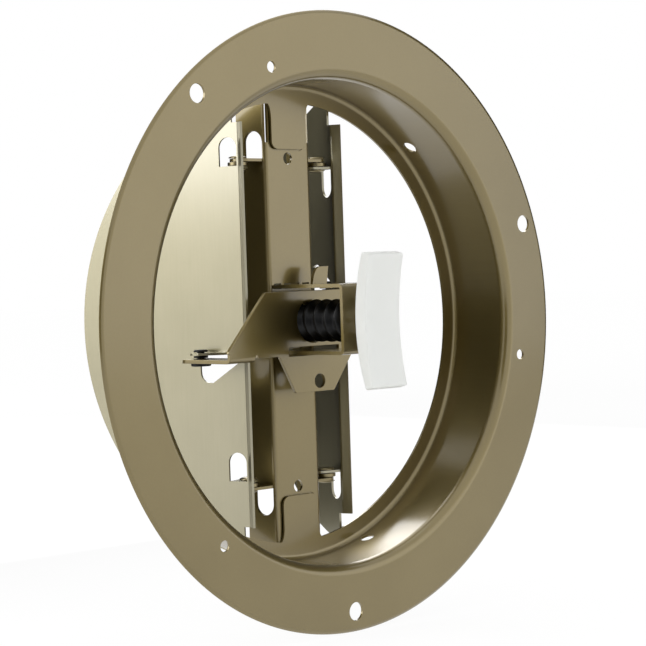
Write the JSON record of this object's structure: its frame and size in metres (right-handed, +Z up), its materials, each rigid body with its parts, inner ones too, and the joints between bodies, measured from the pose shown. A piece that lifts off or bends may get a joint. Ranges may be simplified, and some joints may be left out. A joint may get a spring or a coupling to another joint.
{
  "type": "duct butterfly damper",
  "caption": "Round steel ceiling duct damper: two half-round blades on a bridge, opened and closed by turning a white handle on a worm.",
  "frame": {"origin": "centre of the duct on the flange's front face", "axes": "+Y along the duct axis, from the room into the duct; +Z up along the bridge and the blades' hinges; +X to the right seen from the room"},
  "size_m": [0.256, 0.1346, 0.256],
  "materials": {
    "bronze_enamel": "satin",
    "blade_enamel": "satin",
    "plated_steel": "satin",
    "black_plastic": "satin",
    "white_nylon": "satin"
  },
  "bodies": {
    "frame": {"collar_ring": "bronze_enamel", "bridge_channel": "bronze_enamel", "guide_bracket": "bronze_enamel", "worm_front_washer": "white_nylon", "worm_rear_washer": "white_nylon", "left_hinge_rivet_top": "plated_steel", "left_hinge_rivet_bottom": "plated_steel", "left_hinge_spacer_top": "plated_steel", "left_hinge_spacer_bottom": "plated_steel", "right_hinge_rivet_top": "plated_steel", "right_hinge_rivet_bottom": "plated_steel", "right_hinge_spacer_top": "plated_steel", "right_hinge_spacer_bottom": "plated_steel"},
    "left_blade": {"left_blade": "blade_enamel", "left_link_pin": "black_plastic", "left_link_washer": "black_plastic"},
    "right_blade": {"right_blade": "blade_enamel", "right_link_pin": "black_plastic", "right_link_washer": "black_plastic"},
    "carriage": {"carriage_plate": "bronze_enamel"},
    "worm": {"worm_screw": "black_plastic", "worm_push_nut": "plated_steel", "handle": "white_nylon", "handle_pin": "plated_steel"}
  },
  "joints": [
    {"name": "left_blade_hinge", "type": "hinge", "parent": "frame", "child": "left_blade", "pos_m": [-0.0226, 0.0389, 0], "axis": [0, 0, -1], "range_deg": [-73, 7]},
    {"name": "right_blade_hinge", "type": "hinge", "parent": "frame", "child": "right_blade", "pos_m": [0.0226, 0.0389, 0], "axis": [0, 0, 1], "range_deg": [-73.01, 7.01]},
    {"name": "carriage_slide", "type": "slide", "parent": "frame", "child": "carriage", "axis": [0, 1, 0], "range_m": [-0.02151, 0.00207]},
    {"name": "worm_turn", "type": "hinge", "parent": "frame", "child": "worm", "pos_m": [0, 0, 0.0008], "axis": [0, -1, 0], "range_deg": [-1290.32, 124]}
  ],
  "couplings": [
    {"joint": "right_blade_hinge", "follows": "left_blade_hinge", "ratio": 1},
    {"joint": "carriage_slide", "follows": "left_blade_hinge", "m_per_rad": 0.016875},
    {"joint": "worm_turn", "follows": "left_blade_hinge", "ratio": 17.671}
  ]
}
